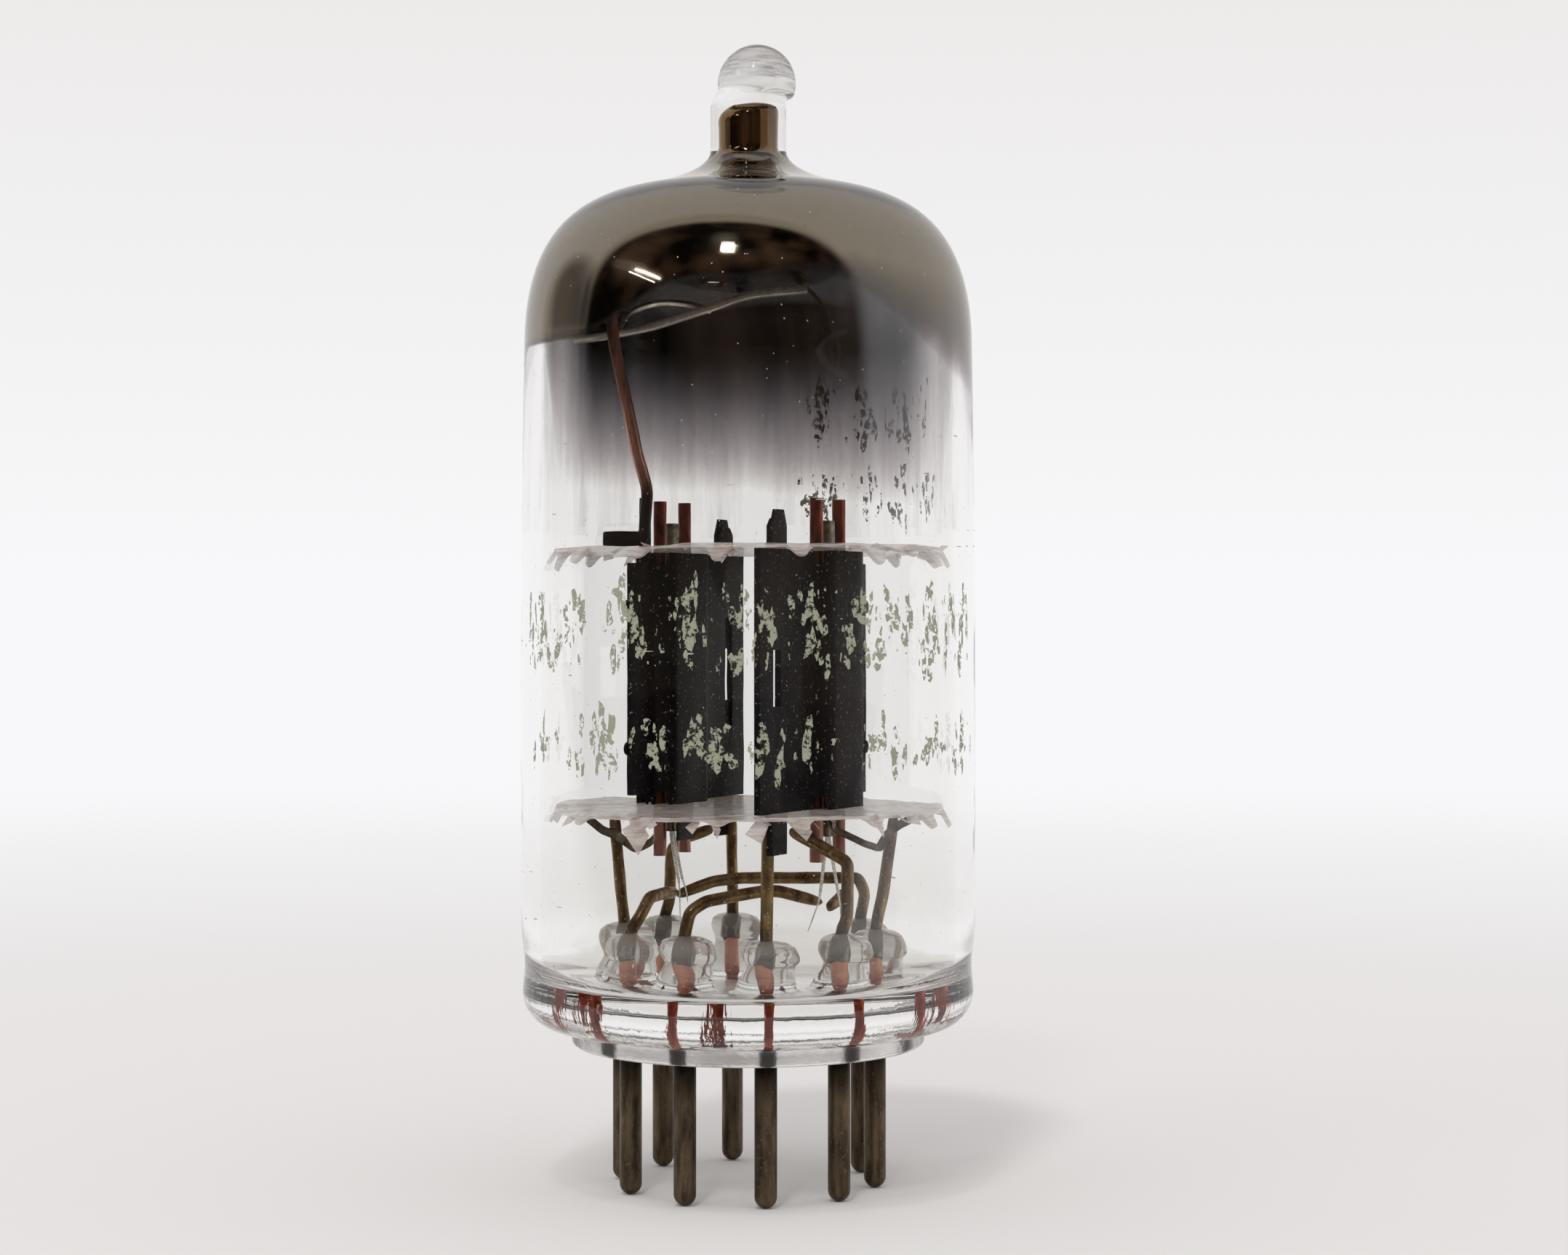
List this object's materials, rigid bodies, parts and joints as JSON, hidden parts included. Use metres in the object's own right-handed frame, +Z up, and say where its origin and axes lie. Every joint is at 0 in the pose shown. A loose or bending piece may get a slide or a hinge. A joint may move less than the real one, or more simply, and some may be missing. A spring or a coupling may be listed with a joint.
{
  "type": "twin triode tube",
  "caption": "Glass vacuum tube with two triodes side by side on mica discs, a getter in the dome and straight pins through a glass base.",
  "frame": {"origin": "on the axis of the bulb, level with the tips of the pins", "axes": "+Z up along the bulb axis, +X across the two triodes, +Y towards the gap between the first and the last pin"},
  "size_m": [0.0212, 0.0212, 0.053],
  "materials": {
    "bulb_glass": "clear, with worn flecks of grey-green ink",
    "stem_glass": "clear, moulded",
    "getter_film": "dark metal mirror that fades out downwards",
    "pin_metal": "dull, oxidised brown-grey",
    "seal_copper": "borated copper skin, dark red",
    "lead_wire": "oxidised nickel wire",
    "nickel_strip": "dull strip",
    "carbonised_anode": "carbonised nickel sheet, satin black",
    "copper_rod": "dull copper",
    "grid_wire": "fine drawn wire",
    "cathode_nickel": "oxidised nickel sleeve",
    "heater_coating": "matte white alumina coating",
    "mica": "split mica sheet, translucent grey",
    "getter_rod_copper": "copper-clad rod, dark at its foot",
    "getter_nickel": "folded strip, sooted"
  },
  "bodies": {
    "root": {"glass_bulb": "bulb_glass", "button_stem": "stem_glass", "getter_flash": "getter_film", "pin_1": "pin_metal", "pin_2": "pin_metal", "pin_3": "pin_metal", "pin_4": "pin_metal", "pin_5": "pin_metal", "pin_6": "pin_metal", "pin_7": "pin_metal", "pin_8": "pin_metal", "pin_9": "pin_metal", "seal_wire_1": "seal_copper", "seal_wire_2": "seal_copper", "seal_wire_3": "seal_copper", "seal_wire_4": "seal_copper", "seal_wire_5": "seal_copper", "seal_wire_6": "seal_copper", "seal_wire_7": "seal_copper", "seal_wire_8": "seal_copper", "seal_wire_9": "seal_copper", "lead_1": "lead_wire", "lead_2": "lead_wire", "lead_3": "lead_wire", "lead_4": "lead_wire", "lead_5": "lead_wire", "lead_6": "lead_wire", "lead_7": "lead_wire", "lead_8": "lead_wire", "lead_9": "lead_wire", "heater_stub": "lead_wire", "cathode_ribbon_1": "nickel_strip", "cathode_ribbon_2": "nickel_strip", "anode_1_outer": "carbonised_anode", "anode_1_inner": "carbonised_anode", "anode_2_outer": "carbonised_anode", "anode_2_inner": "carbonised_anode", "grid_1_front_rod": "copper_rod", "grid_1_rear_rod": "copper_rod", "grid_2_front_rod": "copper_rod", "grid_2_rear_rod": "copper_rod", "grid_1_winding": "grid_wire", "grid_2_winding": "grid_wire", "cathode_1": "cathode_nickel", "cathode_2": "cathode_nickel", "heater_1": "heater_coating", "heater_2": "heater_coating", "mica_top": "mica", "mica_bottom": "mica", "getter_rod": "getter_rod_copper", "getter_channel": "getter_nickel"}
  },
  "joints": []
}
